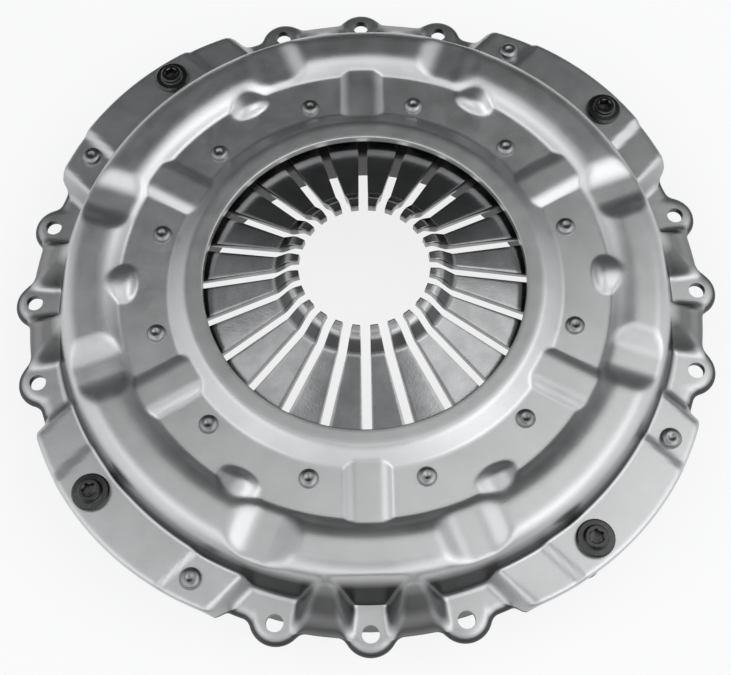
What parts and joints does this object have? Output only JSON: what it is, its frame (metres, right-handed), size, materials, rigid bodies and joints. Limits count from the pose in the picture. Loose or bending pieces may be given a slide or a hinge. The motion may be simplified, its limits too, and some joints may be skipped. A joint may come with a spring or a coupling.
{
  "type": "clutch pressure plate",
  "caption": "Diaphragm-spring clutch pressure plate: pressed steel cover with lobed bolting flange, slotted finger spring and strap-driven cast friction ring.",
  "frame": {"origin": "centre of the cover's mounting face, on the clutch axis, in the plane that seats on the flywheel rim", "axes": "+Z along the clutch axis, away from the flywheel towards the gearbox; +X through the middle lobe of one group of three bolting lobes; +Y through the middle lobe of the next group"},
  "size_m": [0.477, 0.477, 0.0933],
  "materials": {
    "cover_steel": "satin pressed steel sheet, lightly oiled",
    "spring_steel": "shot-peened tempered spring steel",
    "ring_steel": "drawn steel wire, bright",
    "rivet_steel": "cold-headed steel, satin",
    "strap_steel": "cold-rolled spring strip, blue-grey",
    "black_bolt_steel": "black oxide socket screw",
    "cast_iron": "grey iron, machined friction face"
  },
  "bodies": {
    "cover": {"cover": "cover_steel", "diaphragm_spring": "spring_steel", "upper_fulcrum_ring": "ring_steel", "lower_fulcrum_ring": "ring_steel", "fulcrum_rivets": "rivet_steel", "strap_rivets": "rivet_steel", "drive_strap_1_lower": "strap_steel", "drive_strap_1_middle": "strap_steel", "drive_strap_1_upper": "strap_steel", "drive_strap_2_lower": "strap_steel", "drive_strap_2_middle": "strap_steel", "drive_strap_2_upper": "strap_steel", "drive_strap_3_lower": "strap_steel", "drive_strap_3_middle": "strap_steel", "drive_strap_3_upper": "strap_steel", "drive_strap_4_lower": "strap_steel", "drive_strap_4_middle": "strap_steel", "drive_strap_4_upper": "strap_steel"},
    "pressure_plate": {"pressure_plate": "cast_iron", "strap_bolts": "black_bolt_steel", "strap_bolt_sleeves": "ring_steel"}
  },
  "joints": [
    {"name": "pressure_plate_lift", "type": "slide", "parent": "cover", "child": "pressure_plate", "axis": [0, 0, 1], "range_m": [0, 0.008], "stiffness_N_per_m": 150000, "springref_m": -0.004, "deforming": ["diaphragm_spring", "drive_strap_1_lower", "drive_strap_1_middle", "drive_strap_1_upper", "drive_strap_2_lower", "drive_strap_2_middle", "drive_strap_2_upper", "drive_strap_3_lower", "drive_strap_3_middle", "drive_strap_3_upper", "drive_strap_4_lower", "drive_strap_4_middle", "drive_strap_4_upper"]}
  ]
}
